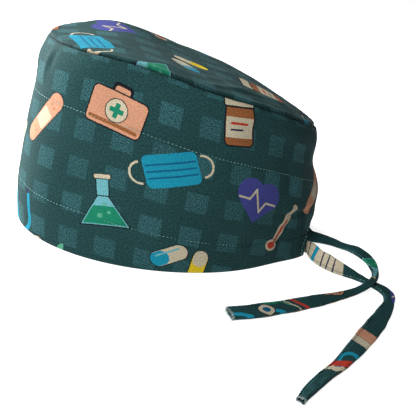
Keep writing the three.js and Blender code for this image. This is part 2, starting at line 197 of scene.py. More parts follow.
# Level sections of the band: up the wall, half width, front reach, back reach, as shares
SECTIONS = np.array([
    (0.00, 0.936, 0.948, 1.050),
    (0.10, 0.938, 0.959, 1.048),
    (0.25, 0.952, 0.960, 1.039),
    (0.50, 0.982, 0.938, 1.005),
    (0.75, 0.996, 0.903, 0.956),
    (0.90, 1.000, 0.881, 0.922),
    (1.00, 0.994, 0.842, 0.876),
])

# Line of the top seam: along the cap, height as a share from the back's to the front's
SEAM_LINE = np.array([(0.0, 1.0), (0.25, 1.02), (0.5, 0.775), (0.75, 0.48), (1.0, 0.0)])

# Large dents, and bulges below nothing: around, up, wide, tall, deep
DENTS = [
    (172, 0.73, 26, 0.12, 1.0),
    (172, 0.47, 24, 0.10, -0.35),
    (208, 0.55, 16, 0.13, 0.6),
    (128, 0.62, 12, 0.30, 0.35),
    (134, 0.00, 20, 0.22, 0.7),
    (148, 0.00, 14, 0.24, -1.1),
    (232, 0.60, 12, 0.30, 0.35),
    (40, 0.50, 18, 0.25, 0.18),
    (318, 0.45, 20, 0.25, 0.22),
]

# Gathers that rise from the hem at the back: around, wide, high, deep
GATHERS = [
    (139, 3.2, 0.34, 0.6),
    (147, 2.8, 0.42, 0.9),
    (155, 2.6, 0.36, 1.0),
    (163, 2.8, 0.50, 0.8),
    (197, 2.8, 0.46, 0.9),
    (205, 2.6, 0.38, 1.0),
    (214, 3.0, 0.42, 0.8),
    (222, 3.2, 0.32, 0.6),
]

# Hollows of the top panel, and a swelling below nothing: x, y, wide, long, deep
CROWN_HOLLOWS = [
    (0.28, 0.38, 0.20, 0.24, 0.7),
    (-0.30, 0.10, 0.26, 0.30, 0.35),
    (0.35, -0.35, 0.24, 0.26, 0.3),
    (-0.62, -0.42, 0.30, 0.42, -1.7),
]

# Soft creases of the band: distance round the cap and below the seam of both ends, width, depth.
# A positive depth is a ridge.
BAND_CREASES = [
    (28, 0, 24, 26, 3.0, 0.8),
    (34, 0, 31, 18, 2.2, -0.7),
    (8, 2, 4, 22, 6.0, 1.0),
    (150, 4, 235, 14, 6.0, 1.4),
    (165, 15, 245, 24, 5.0, -1.3),
    (216, 28, 232, 62, 6.0, -1.4),
    (240, 30, 226, 70, 5.0, 1.2),
    (186, 44, 214, 58, 5.0, 0.7),
    (205, 76, 262, 64, 3.0, -1.7),
    (215, 70, 255, 60, 3.0, 1.1),
    (200, 84, 244, 80, 2.6, -0.9),
    (246, 66, 250, 88, 2.4, -1.3),
    (232, 70, 226, 90, 2.2, -1.1),
    (60, 40, 110, 60, 14.0, 0.35),
    (20, 60, 60, 90, 12.0, 0.35),
    (120, 70, 190, 82, 9.0, 0.4),
    (110, 96, 160, 88, 5.0, -0.35),
    (-70, 30, -130, 60, 12.0, 0.5),
    (-150, 60, -230, 40, 9.0, -0.7),
    (-30, 50, -60, 80, 12.0, -0.5),
]

# Creases of the top panel: both ends in the plan, width, depth
CROWN_CREASES = [
    (60, 18, 38, 62, 3.4, 1.1),
    (70, 28, 50, 72, 3.0, -1.0),
    (74, -4, 50, 30, 4.0, 0.8),
    (78, -40, 66, -84, 4.5, 0.8),
    (30, 66, -20, 84, 5.0, 0.7),
    (52, 0, 20, 34, 5.0, 0.5),
    (66, -10, 44, -44, 4.5, 0.45),
    (74, -24, 58, -62, 4.0, -0.5),
    (40, -50, 14, -92, 5.0, 0.9),
    (-50, -40, -30, 30, 6.0, 0.5),
    (-60, 20, -30, 70, 5.0, -0.5),
]

# Stitch line of the hem: around, height above the rim
HEM_LINE = np.array([
    (0, 32.0), (25, 33.0), (50, 33.0), (62, 31.5), (75, 29.5), (97, 24.5),
    (112, 21.0), (130, 19.5), (155, 18.5), (180, 18.5),
])

# Stitch line of the inner band: around, distance below the seam
UPPER_LINE = np.array([(0, 36.5), (13, 36.5), (35, 37.0), (50, 38.3), (73, 40.0), (180, 42.0)])

# Routes of the ties, as in the frame: x, y, z, turn, wide, thick
LEFT_TIE = np.array([
    (48.0, 84.6, 5.70, 85, 0.68, 0.8), (44.7, 91.4, 5.70, 86, 0.68, 0.8),
    (41.1, 95.7, 5.70, 79, 0.68, 0.8), (38.2, 98.7, 5.50, 90, 0.68, 0.8),
    (37.3, 101.5, 5.35, 90, 0.66, 0.85), (38.9, 104.2, 5.41, 86, 0.66, 0.9),
    (42.6, 105.4, 5.77, 76, 0.70, 0.95), (47.4, 105.9, 5.96, 66, 0.74, 1),
    (54.4, 107.7, 5.75, 58, 0.75, 1), (60.9, 112.2, 5.67, 52, 0.78, 1),
    (66.6, 117.5, 5.07, 46, 0.72, 1), (70.6, 124.1, 3.90, 36, 0.58, 1),
    (73.7, 129.4, 2.82, 20, 0.50, 1.05), (78.1, 134.7, 2.01, 6, 0.44, 1.1),
    (81.9, 138.8, 1.67, 0, 0.42, 1.1), (85.8, 142.7, 1.67, 0, 0.52, 1.1),
    (90.1, 146.0, 1.61, 0, 0.68, 1.05), (96.8, 147.3, 1.55, 0, 0.63, 1),
    (107.7, 142.7, 1.55, 0, 0.51, 1), (118.5, 134.4, 1.55, 0, 0.69, 1),
    (133.8, 121.0, 1.55, 0, 0.84, 1), (147.9, 107.5, 1.55, 0, 0.85, 1),
    (162.2, 93.4, 1.67, 0, 0.76, 1.1), (176.5, 78.3, 1.79, 0, 0.60, 1.2),
    (186.4, 65.8, 1.91, 0, 0.53, 1.3), (195.6, 55.0, 2.03, 0, 0.51, 1.4),
    (202.8, 47.4, 2.15, 0, 0.44, 1.5), (208.0, 42.5, 2.27, 0, 0.36, 1.6),
])
RIGHT_TIE = np.array([
    (-47.8, 84.4, 5.80, 85, 0.68, 0.8), (-43.3, 90.1, 5.80, 86, 0.68, 0.8),
    (-38.9, 94.5, 5.80, 84, 0.68, 0.8), (-34.8, 98.8, 5.80, 88, 0.68, 0.8),
    (-28.6, 101.6, 5.50, 90, 0.68, 0.9), (-20.6, 105.2, 5.50, 90, 0.68, 0.95),
    (-11.0, 108.2, 5.50, 90, 0.68, 0.95), (-2.0, 110.0, 5.50, 90, 0.68, 1),
    (7.0, 111.2, 5.52, 89, 0.68, 1), (14.4, 112.4, 5.46, 88, 0.67, 1),
    (19.4, 113.6, 5.15, 88, 0.63, 1), (21.7, 120.8, 4.63, 88, 0.56, 1),
    (25.2, 131.0, 3.75, 84, 0.44, 1), (29.2, 136.9, 3.27, 76, 0.36, 1.05),
    (32.7, 142.5, 3.27, 50, 0.36, 1.1), (36.8, 147.8, 3.17, 24, 0.53, 1.1),
    (43.2, 152.2, 2.27, 8, 0.65, 1.05), (52.0, 153.7, 1.55, 0, 0.56, 1),
    (65.5, 150.8, 1.95, 0, 0.36, 1), (78.8, 143.9, 3.95, 0, 0.36, 1),
    (87.5, 136.6, 4.95, 0, 0.36, 1), (91.8, 130.4, 4.35, 0, 0.36, 1),
    (94.5, 123.9, 2.55, 0, 0.40, 1), (97.8, 115.4, 1.65, 0, 0.46, 1),
    (101.7, 105.5, 1.55, 0, 0.55, 1), (105.9, 94.8, 1.61, 0, 0.71, 1.05),
    (111.1, 80.4, 1.67, 0, 0.82, 1.1), (116.1, 65.8, 1.73, 0, 0.85, 1.15),
    (120.8, 50.3, 1.79, 0, 0.88, 1.2), (125.1, 34.1, 1.91, 0, 0.85, 1.3),
    (127.7, 21.4, 2.03, 0, 0.80, 1.4),
])

# Colours of the cloth and the print, as red, green and blue from 0 to 255
COLOURS = {
    "ground": (22, 48, 49),
    "square": (34, 66, 69),
    "back of cloth": (46, 66, 66),
    "thread": (112, 160, 154),
    "frayed": (135, 151, 148),
    "cream": (149, 141, 121),
    "cyan": (16, 105, 126),
    "deep blue": (10, 67, 95),
    "pale blue": (79, 130, 136),
    "indigo": (48, 51, 105),
    "navy": (28, 30, 54),
    "peach": (153, 110, 87),
    "green": (18, 95, 72),
    "mint": (62, 123, 98),
    "yellow": (167, 146, 28),
    "brown": (110, 67, 38),
    "red": (138, 43, 33),
    "ink": (13, 18, 22),
}


def linear(name):
    """A colour of the table as the renderer's own light values."""
    shares = [value / 255 for value in COLOURS[name]]
    return tuple(
        share / 12.92 if share <= 0.04045 else ((share + 0.055) / 1.055) ** 2.4
        for share in shares
    ) + (1.0,)


# ---- shape helpers


def smooth(share):
    held = np.clip(share, 0, 1)
    return held * held * (3 - 2 * held)


def bell(distance):
    return np.exp(-distance * distance)


def mix(start, end, share):
    return start + (end - start) * share


def angle_between(a, b):
    return (a - b + 540) % 360 - 180


def through_table(table, column, at):
    """A smooth curve through one column of a table, read at places of its first column."""
    at = np.asarray(at, float)
    places = table[:, 0]
    row = np.clip(np.searchsorted(places, at, side="right") - 1, 0, len(table) - 2)
    before, after = np.maximum(row - 1, 0), np.minimum(row + 2, len(table) - 1)
    values = table[:, column]
    span = places[row + 1] - places[row]
    slope_here = (values[row + 1] - values[before]) / (places[row + 1] - places[before]) * span
    slope_next = (values[after] - values[row]) / (places[after] - places[row]) * span
    t = (at - places[row]) / span
    return (
        (2 * t**3 - 3 * t**2 + 1) * values[row] + (t**3 - 2 * t**2 + t) * slope_here
        + (3 * t**2 - 2 * t**3) * values[row + 1] + (t**3 - t**2) * slope_next
    )


def drift(x, y, size, seed):
    """Soft random swells from -1 to 1 over the plane, about one every size."""
    table = np.random.RandomState(seed).uniform(-1, 1, (SWELL_TABLE, SWELL_TABLE))
    x, y = np.asarray(x) / size, np.asarray(y) / size
    column, row = np.floor(x).astype(int), np.floor(y).astype(int)
    right, up = smooth(x - column), smooth(y - row)
    column, next_column = column % SWELL_TABLE, (column + 1) % SWELL_TABLE
    row, next_row = row % SWELL_TABLE, (row + 1) % SWELL_TABLE
    low = mix(table[row, column], table[row, next_column], right)
    high = mix(table[next_row, column], table[next_row, next_column], right)
    return mix(low, high, up)


def swells(kind, x, y):
    """The random swells of one kind, slanted and stretched over the plane."""
    return sum(
        height * drift(x + slant * y, y * stretch, size, seed)
        for height, slant, stretch, size, seed in SWELLS[kind]
    )


def creases(table, x, y):
    """Ridges and furrows along the straight lines of a table."""
    height = np.zeros(np.broadcast(x, y).shape)
    for x1, y1, x2, y2, wide, deep in table:
        run = np.array([x2 - x1, y2 - y1], float)
        share = np.clip(((x - x1) * run[0] + (y - y1) * run[1]) / (run @ run), 0, 1)
        aside = np.hypot(x - x1 - share * run[0], y - y1 - share * run[1])
        ends = CREASE_END + (1 - CREASE_END) * np.sin(math.pi * share) ** 0.5
        height = height + deep * bell(aside / wide) * ends
    return height


HALF_WIDTH, HALF_LENGTH = CAP_WIDTH / 2, CAP_LENGTH / 2
PLAN_MIDDLE = HALF_LENGTH / 2 * (
    SECTIONS[:, 2].max() - float(through_table(SECTIONS, 3, OPENING_HEIGHT / BACK_HEIGHT))
)


def plan_point(around, up):
    side, ahead = np.sin(np.radians(around)), np.cos(np.radians(around))
    reach = np.where(ahead > 0, through_table(SECTIONS, 2, up), through_table(SECTIONS, 3, up))
    x = HALF_WIDTH * through_table(SECTIONS, 1, up) * side
    return x, PLAN_MIDDLE - HALF_LENGTH * reach * ahead


SEAM_FRONT = float(plan_point(0.0, 1.0)[1])
SEAM_BACK = float(plan_point(180.0, 1.0)[1])


def seam_height(x, y):
    along = np.clip((y - SEAM_FRONT) / (SEAM_BACK - SEAM_FRONT), 0, 1)
    rise = through_table(SEAM_LINE, 1, along)
    return mix(BACK_HEIGHT, FRONT_HEIGHT, rise) + SEAM_LEAN * x / HALF_WIDTH


def top_of(around):
    return seam_height(*plan_point(around, 1.0)) - SEAT_WALL


def edge_of(around):
    """Height of the band's lower edge: the rim, or the arch of the opening."""
    from_middle = np.abs(plan_point(around, 0.0)[0]) / (OPENING_WIDTH / 2)
    arch = OPENING_HEIGHT * (1 - np.minimum(from_middle, 1) ** OPENING_BOW)
    return np.where(np.cos(np.radians(around)) > 0, 0.0, arch)


def dent_at(around, up):
    depth = 0.0
    for place, height, wide, tall, deep in DENTS:
        aside = angle_between(around, place) / wide
        depth = depth + DENT_DEPTH * deep * bell(aside) * bell((up - height) / tall)
    depth = depth * smooth((1 - up) / DENT_FADE)
    for place, wide, high, deep in GATHERS:
        aside = angle_between(around, place) / wide
        rise = smooth(up / GATHER_START) * (1 - smooth(up / high))
        depth = depth + GATHER_DEPTH * deep * bell(aside) * rise
    return depth


def outward(around, up):
    ahead, behind = plan_point(around + 1, up), plan_point(around - 1, up)
    x, y = ahead[1] - behind[1], behind[0] - ahead[0]
    length = np.hypot(x, y)
    return x / length, y / length


def wall_point(around, z, inside):
    """A point of the band at a height, a distance inside its outer face."""
    up = np.clip(z / top_of(around), 0, 1)
    x, y = plan_point(around, up)
    out_x, out_y = outward(around, up)
    back = inside + dent_at(around, up)
    return x - out_x * back, y - out_y * back, z


def wall_grid(around, z, inside):
    return np.stack(wall_point(around + 0 * z, z, inside), axis=-1)


# Distances round the cap are measured at this share of the wall's height, a degree at a time
LENGTH_LEVEL = 0.6
TURNS = np.arange(0, 181, 1.0)
TURN_X, TURN_Y = plan_point(TURNS, LENGTH_LEVEL)
TURN_LENGTHS = np.concatenate([[0], np.cumsum(np.hypot(np.diff(TURN_X), np.diff(TURN_Y)))])


def round_length(around):
    """Distance round the cap from its front, less than nothing on the wearer's right."""
    signed = angle_between(around, 0.0)
    return np.sign(signed) * np.interp(np.abs(signed), TURNS, TURN_LENGTHS)


def line_at(line, around):
    """Where a stitch line runs at places round the cap, the same on both sides."""
    return np.interp(np.abs(angle_between(around, 0.0)), line[:, 0], line[:, 1])


def from_back_seam(around):
    return np.abs(angle_between(around, 180.0)) * math.pi / 180 * HALF_WIDTH


def stitch_furrow(kind, distance):
    depth, width = FURROWS[kind][:2]
    return depth * bell(distance / width)


# Painted shade beside a stitch line or the back seam
def stitch_painted_shade(kind, distance):
    shade, width = FURROWS[kind][2:]
    return shade * bell(distance / width)


def pucker_share(distance, reach):
    """Puckers start beside a seam and die away within their reach."""
    return np.exp(-distance / reach) * smooth(distance / PUCKER_START)


def band_relief(around, z):
    """Small folds, puckers and stitch furrows of the band. Positive stands out."""
    along = round_length(around)
    below = top_of(around) - z
    above_hem = z - line_at(HEM_LINE, around)
    below_line = below - line_at(UPPER_LINE, around)
    back_share = smooth((np.abs(angle_between(around, 0.0)) - BAND_BACK) / BAND_BACK_EASE)
    height = creases(BAND_CREASES, along, below) + swells("band", along, below)
    height = height * smooth(below / TOP_FADE) * smooth((z - edge_of(around)) / RIM_FADE)
    pucker = (PUCKER + BACK_PUCKER * back_share) * swells("band puckers", along, below)
    height = height + pucker * pucker_share(below, BAND_PUCKER_REACH)
    gather = (HEM_GATHER + BACK_HEM_GATHER * back_share) * swells("hem gathers", along, above_hem)
    reach = HEM_GATHER_REACH + BACK_HEM_GATHER_REACH * back_share
    height = height + gather * bell(above_hem / reach)
    height = height - stitch_furrow("hem", above_hem) * (1 + BACK_HEM_FURROW / FURROWS["hem"][0] * back_share)
    height = height - stitch_furrow("inner band", below_line)
    height = height + swells("inner band", along, below) * bell(below_line / UPPER_RIPPLE_REACH)
    return height - stitch_furrow("back seam", from_back_seam(around))


def band_painted_shade(around, z):
    """Painted shade of the band's outer face: its colour is darkened deep in its seams and along its stitch
    lines.
    """
    below = top_of(around) - z
    at_hem = stitch_painted_shade("hem", z - line_at(HEM_LINE, around)) * (z > edge_of(around) + HEM_SHADE_CLEAR)
    at_upper = stitch_painted_shade("inner band", below - line_at(UPPER_LINE, around))
    at_back = stitch_painted_shade("back seam", from_back_seam(around))
    return np.clip(CREVICE_SHADE * np.exp(-below / BAND_CREVICE_SHADE_REACH) + at_hem + at_upper + at_back, 0, 1)


def seam_pull(below):
    """How far the band turns in towards the top seam."""
    return SEAM_ROLL * bell(below)


# ---- mesh helpers


def in_scene(name, data):
    """A new object of the scene for a mesh, a light or a camera."""
    thing = bpy.data.objects.new(name, data)
    bpy.context.scene.collection.objects.link(thing)
    return thing


def piece_from(name, points, faces, uv, reverse, painted_shade, material):
    """A mesh of the scene from points in millimetres, with its cloth map, wrong side and painted shade of its
    hollows.
    """
    mesh = bpy.data.meshes.new(name)
    mesh.from_pydata((points.reshape(-1, 3) * MM).tolist(), [], faces)
    corners = np.zeros(len(mesh.loops), int)
    mesh.loops.foreach_get("vertex_index", corners)
    layer = mesh.uv_layers.new(name="cloth")
    layer.data.foreach_set("uv", (uv.reshape(-1, 2)[corners] * MM).ravel())
    for label, values in (("wrong_side", reverse), ("painted_shade", painted_shade)):
        attribute = mesh.attributes.new(label, "FLOAT", "POINT")
        attribute.data.foreach_set("value", np.ravel(values))
    mesh.polygons.foreach_set("use_smooth", np.ones(len(mesh.polygons), bool))
    mesh.materials.append(material)
    return in_scene(name, mesh)


def ring_faces(rows, columns, closed_rows, closed_columns):
    """Quads over a grid of points, row by row."""
    last_row = rows if closed_rows else rows - 1
    last_column = columns if closed_columns else columns - 1
    row, column = np.meshgrid(np.arange(last_row), np.arange(last_column), indexing="ij")
    row, column = row.ravel(), column.ravel()
    next_row, next_column = (row + 1) % rows, (column + 1) % columns
    return np.stack([
        row * columns + column, row * columns + next_column,
        next_row * columns + next_column, next_row * columns + column,
    ], axis=1)


def finished(piece, node):
    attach(piece, "root")
    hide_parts(node)
    return piece


# ---- cloth and thread


class Recipe:
    """Adds shader nodes to one new material and hands back their outputs."""

    def __init__(self, name):
        self.material = bpy.data.materials.new(name)
        self.material.use_nodes = True
        self.tree = self.material.node_tree
        self.shader = self.tree.nodes["Principled BSDF"]

    def add(self, kind, **settings):
        node = self.tree.nodes.new(kind)
        for setting, value in settings.items():
            setattr(node, setting, value)
        return node

    def feed(self, socket, value):
        if isinstance(value, bpy.types.NodeSocket):
            self.tree.links.new(value, socket)
        else:
            socket.default_value = value

    def surface(self, values):
        for label, value in values.items():
            self.feed(self.shader.inputs[label], value)

    def number(self, operation, *values):
        node = self.add("ShaderNodeMath", operation=operation)
        for socket, value in zip(node.inputs, values):
            self.feed(socket, value)
        return node.outputs[0]

    def vector(self, operation, *values, scale=None):
        node = self.add("ShaderNodeVectorMath", operation=operation)
        for socket, value in zip(node.inputs, values):
            self.feed(socket, value)
        if scale is not None:
            self.feed(node.inputs["Scale"], scale)
        measure = operation in ("LENGTH", "DISTANCE", "DOT_PRODUCT")
        return node.outputs["Value" if measure else "Vector"]

    def mixed(self, share, under, over):
        node = self.add("ShaderNodeMix", data_type="RGBA")
        self.feed(node.inputs[0], share)
        self.feed(node.inputs[6], under)
        self.feed(node.inputs[7], over)
        return node.outputs[2]

    def axes(self, place):
        node = self.add("ShaderNodeSeparateXYZ")
        self.feed(node.inputs[0], place)
        return node.outputs

    def noise(self, place, size, detail=2.0, output="Fac"):
        node = self.add("ShaderNodeTexNoise")
        self.feed(node.inputs["Vector"], place)
        node.inputs["Scale"].default_value = 1 / size
        node.inputs["Detail"].default_value = detail
        return node.outputs[output]

    def placed(self, place, x, y, turn, wide=1.0, tall=1.0):
        """The place as seen from a mark's own middle, turn and size."""
        node = self.add("ShaderNodeMapping", vector_type="TEXTURE")
        self.feed(node.inputs["Vector"], place)
        node.inputs["Location"].default_value = (x, y, 0)
        node.inputs["Rotation"].default_value = (0, 0, math.radians(turn))
        node.inputs["Scale"].default_value = (wide, tall, 1)
        return node.outputs["Vector"]

    def spread(self, value, low, high, to_low, to_high):
        node = self.add("ShaderNodeMapRange")
        for socket, number in zip(node.inputs, (value, low, high, to_low, to_high)):
            self.feed(socket, number)
        return node.outputs[0]


# Marks of the print. Each motif has its place and turn in the repeat, and its marks follow. A mark
# is shape, colour, outline width, x, y, turn, half width, half height, corner.
# A disc has half axes, a bar has rounded corners, an arch has a radius and half a thickness, a
# lens is pointed at its two ends, and a cone's corner is the slope of its sides.
CONE_EASE = 2.4
# Stripes cross the whole width of a tie's cloth: their middle round it and half their length
STRIPE_MIDDLE, STRIPE_REACH = 16, 60


def bar(colour, x, y, wide, tall, corner, turn=0, outline=0):
    return "bar", colour, outline, x, y, turn, wide, tall, corner


def disc(colour, x, y, radius, outline=0):
    return "disc", colour, outline, x, y, 0, radius, radius, 0


def stripe(colour, along, half, turn, corner=0.5):
    return bar(colour, STRIPE_MIDDLE, along, STRIPE_REACH, half, corner, turn)


REPEAT = (187.25, 133.75)
MOTIFS = {
    "listening tube": (30, 26, 14, [
        ("arch", "cyan", 0, 0, 0, 0, 10.5, 1.5, 0),
        *[bar("cyan", side * 10.5, 6, 1.4, 7, 1.4, turn=side * -3) for side in (-1, 1)],
        bar("cyan", 0, -16, 1.5, 6, 1.4),
        ("arch", "cyan", 0, 6.5, -21.5, 0, 6.5, 1.5, 0),
        disc("cream", 14.5, -17, 4.6, 0.6),
        disc("deep blue", 14.5, -17, 2.4),
        *[bar("navy", side * 9.6, 14.5, 1.3, 2.2, 1.2, turn=side * -20) for side in (-1, 1)],
    ]),
    "aid case": (86, 104, -9, [
        bar("ink", 0, 9.8, 5.8, 4.0, 2.2),
        bar("peach", 0, 9.2, 4.3, 2.8, 1.6),
        bar("peach", 0, -1, 15.5, 9.6, 2.6, outline=0.8),
        bar("brown", 0, -8, 14.2, 1.0, 0.9),
        disc("cream", 0, -0.6, 6, 0.5),
        bar("green", 0, -0.6, 1.3, 4.0, 0.3),
        bar("green", 0, -0.6, 1.3, 4.0, 0.3, turn=90),
    ]),
    "capsules": (134, 30, 35, [
        bar("cream", -5, 5, 11, 4.6, 4.6, outline=0.5),
        bar("cyan", -10.6, 5, 5.4, 4.4, 4.2),
        bar("pale blue", -5, 7.2, 7.6, 0.55, 0.5),
        bar("yellow", 7, -7, 10, 4.2, 4.2, turn=48, outline=0.5),
        bar("cream", 10.4, -3.2, 5.2, 4.0, 3.8, turn=48),
    ]),
    "plaster": (40, 88, 52, [
        bar("peach", 0, 0, 18.5, 5.2, 5.0, outline=0.5),
        bar("cream", 0, 0, 5.6, 4.4, 0.8),
        *[disc("brown", x, y, 0.6) for x in (-10, 10) for y in (1.6, -1.6)],
    ]),
    "heart": (172, 74, -6, [
        bar("indigo", 0, 0, 8.6, 8.6, 0.6, turn=45),
        disc("indigo", -6.1, 6.1, 8.6),
        disc("indigo", 6.1, 6.1, 8.6),
        bar("cream", -9.6, 2, 3.6, 0.6, 0.5),
        bar("cream", -4.4, 5, 4.2, 0.6, 0.5, turn=65),
        bar("cream", -0.4, 2, 7.6, 0.6, 0.5, turn=-70),
        bar("cream", 3.6, -1.4, 4.0, 0.6, 0.5, turn=62),
        bar("cream", 9.2, 2, 3.8, 0.6, 0.5),
    ]),
    "flask": (88, 52, 12, [
        ("cone", "pale blue", 0.7, 0, -4, 0, 11, 10, 0.62),
        ("cone", "green", 0, 0, -8, 0, 10, 5.4, 0.62),
        bar("pale blue", 0, 9, 3.2, 5.4, 0.5, outline=0.6),
        bar("cream", 0, 14.6, 4.6, 1.2, 1, outline=0.5),
        disc("mint", -2.4, -8.4, 1.5),
        disc("mint", 2.8, -6.2, 1.0),
        disc("mint", 0.6, -1.4, 0.9),
    ]),
    "jar": (152, 118, 8, [
        bar("brown", 0, -2, 8.4, 10.6, 2.4, outline=0.9),
        bar("cream", 0, -3, 8.2, 5.6, 0.3),
        bar("red", 0, -1, 5.4, 0.7, 0.6),
        bar("navy", -1.4, -4.4, 4.0, 0.5, 0.4),
        bar("cream", 0, 11, 9.2, 2.8, 0.9, outline=0.9),
    ]),
    "thermometer": (8, 62, -28, [
        bar("cream", 0, 2, 2.5, 16, 2.4, outline=0.5),
        disc("cream", 0, -15, 4.2, 0.5),
        bar("red", 0, -4, 0.8, 10, 0.7),
        disc("red", 0, -15, 2.6),
    ]),
    "mask": (120, 82, 24, [
        *[("arch", "cream", 0, side * 17, 0, side * 90, 6, 0.6, 0) for side in (-1, 1)],
        bar("cyan", 0, 0, 15, 9.0, 3),
        *[bar("deep blue", 0, y, 14, 0.5, 0.4) for y in (3.6, 0, -3.6)],
    ]),
    "sprig": (60, 6, -30, [
        bar("mint", 0, 0, 0.5, 9, 0.4),
        ("lens", "green", 0, -4.6, 1, 50, 2.0, 5.2, 0),
        ("lens", "green", 0, 4.6, 4, -50, 2.0, 5.2, 0),
        ("lens", "mint", 0, 0, 11, 0, 1.9, 4.6, 0),
    ]),
}


# Stripes of the ties: colour, place along the strip, half width, turn, corner
NEAR_TIE_MARKS = [
    stripe("cream", 40, 22, 10),
    *[stripe("navy", along, 0.5, 10, 0.4) for along in (24, 29, 45, 50, 55)],
    stripe("cyan", 37, 1.8, 10, 0.4),
    stripe("peach", 164, 5.0, -14),
    stripe("cream", 173, 3.4, -14),
    stripe("red", 212, 3.4, 30),
    stripe("cream", 219, 1.8, 30),
]
FAR_TIE_MARKS = [
    stripe("red", 246, 1.5, 24),
    stripe("cream", 252, 0.7, 24),
    stripe("red", 62, 1.6, 20),
]


def mark_inside(recipe, place, mark, grow):
    """1 inside a mark, grown by its outline's width, and 0 outside."""
    shape, _, _, x, y, turn, wide, tall, corner = mark
    if shape == "disc":
        own = recipe.placed(place, x, y, turn, wide + grow, tall + grow)
        return recipe.number("LESS_THAN", recipe.vector("LENGTH", own), 1.0)
    own = recipe.placed(place, x, y, turn)
    if shape == "arch":
        radius = recipe.number("SUBTRACT", recipe.vector("LENGTH", own), wide)
        ring = recipe.number("LESS_THAN", recipe.number("ABSOLUTE", radius), tall + grow)
        below = recipe.number("LESS_THAN", recipe.axes(own)["Y"], 0.0)
        return recipe.number("MULTIPLY", ring, below)
    folded = recipe.vector("ABSOLUTE", own)
    if shape == "bar":
        inner = recipe.vector("SUBTRACT", folded, (wide - corner, tall - corner, 0))
        reach = recipe.vector("LENGTH", recipe.vector("MAXIMUM", inner, (0, 0, 0)))
        return recipe.number("LESS_THAN", reach, corner + grow)
    if shape == "lens":
        radius = (wide * wide + tall * tall) / (2 * wide)
        moved = recipe.vector("ADD", folded, (radius - wide, 0, 0))
        return recipe.number("LESS_THAN", recipe.vector("LENGTH", moved), radius + grow)
    side = recipe.number("MULTIPLY_ADD", recipe.axes(own)["Y"], corner, recipe.axes(folded)["X"])
    within = recipe.number("LESS_THAN", side, wide - tall * corner + grow + CONE_EASE)
    level = recipe.number("LESS_THAN", recipe.axes(folded)["Y"], tall + grow)
    return recipe.number("MULTIPLY", within, level)


